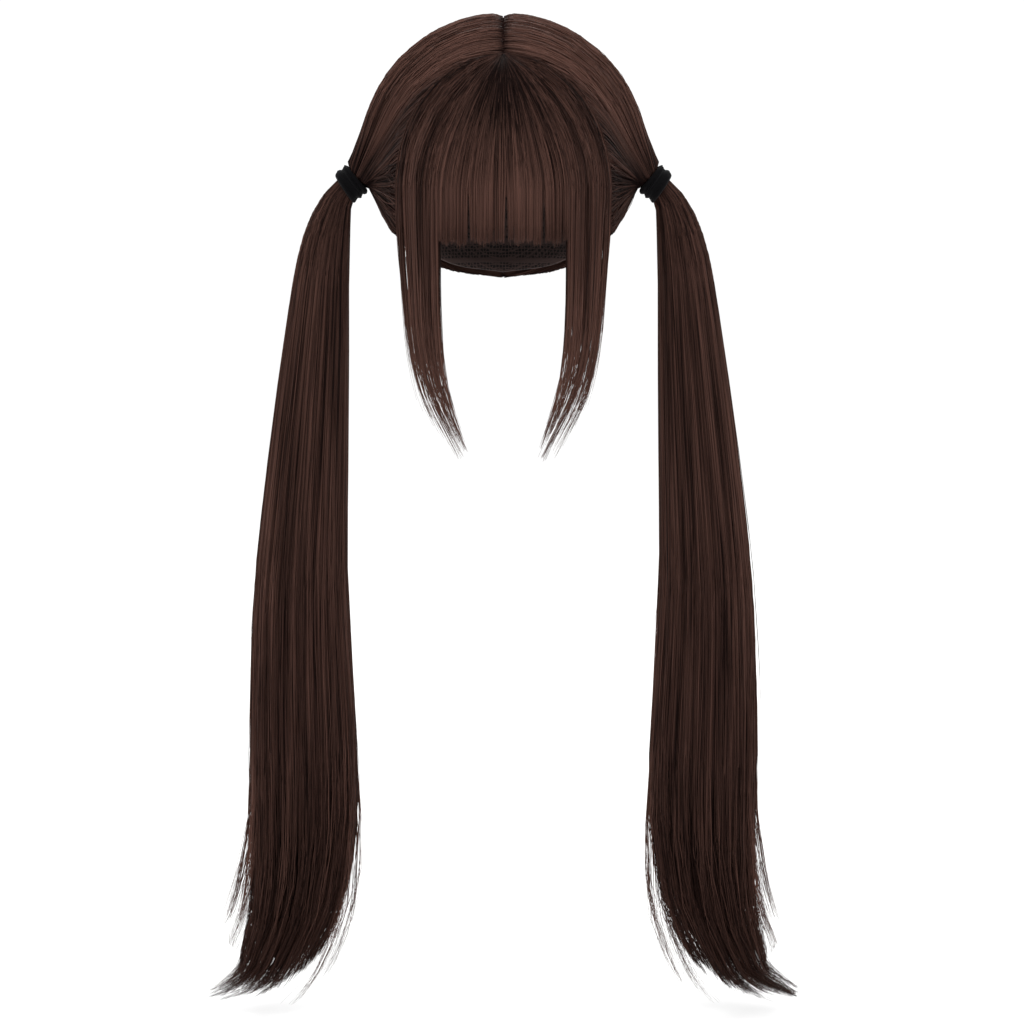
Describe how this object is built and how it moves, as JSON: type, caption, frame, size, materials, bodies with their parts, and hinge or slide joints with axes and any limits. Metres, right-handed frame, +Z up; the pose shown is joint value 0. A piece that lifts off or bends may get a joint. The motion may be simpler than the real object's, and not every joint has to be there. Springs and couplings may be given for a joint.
{
  "type": "pigtail wig",
  "caption": "Long straight dark brown wig with a centre parting, straight cut fringe, longer side locks, pigtails in coiled hair ties and an open cap for the head.",
  "frame": {"origin": "top of the hollow, where the top of the head sits in the cap", "axes": "+Z up, -Y to the front, where the fringe is, and +X to the right as seen from the front"},
  "size_m": [0.4026, 0.2043, 0.6687],
  "materials": {
    "hair": "straight synthetic fibre, satin",
    "elastic": "knitted elastic, matt",
    "cap_net": "stretch net, matt"
  },
  "bodies": {
    "root": {"wig_cap": "cap_net", "crown_hair_left": "hair", "crown_hair_right": "hair", "fringe": "hair", "side_lock_left": "hair", "side_lock_right": "hair", "band_left": "elastic", "band_right": "elastic", "tail_left": "hair", "tail_right": "hair"}
  },
  "joints": []
}
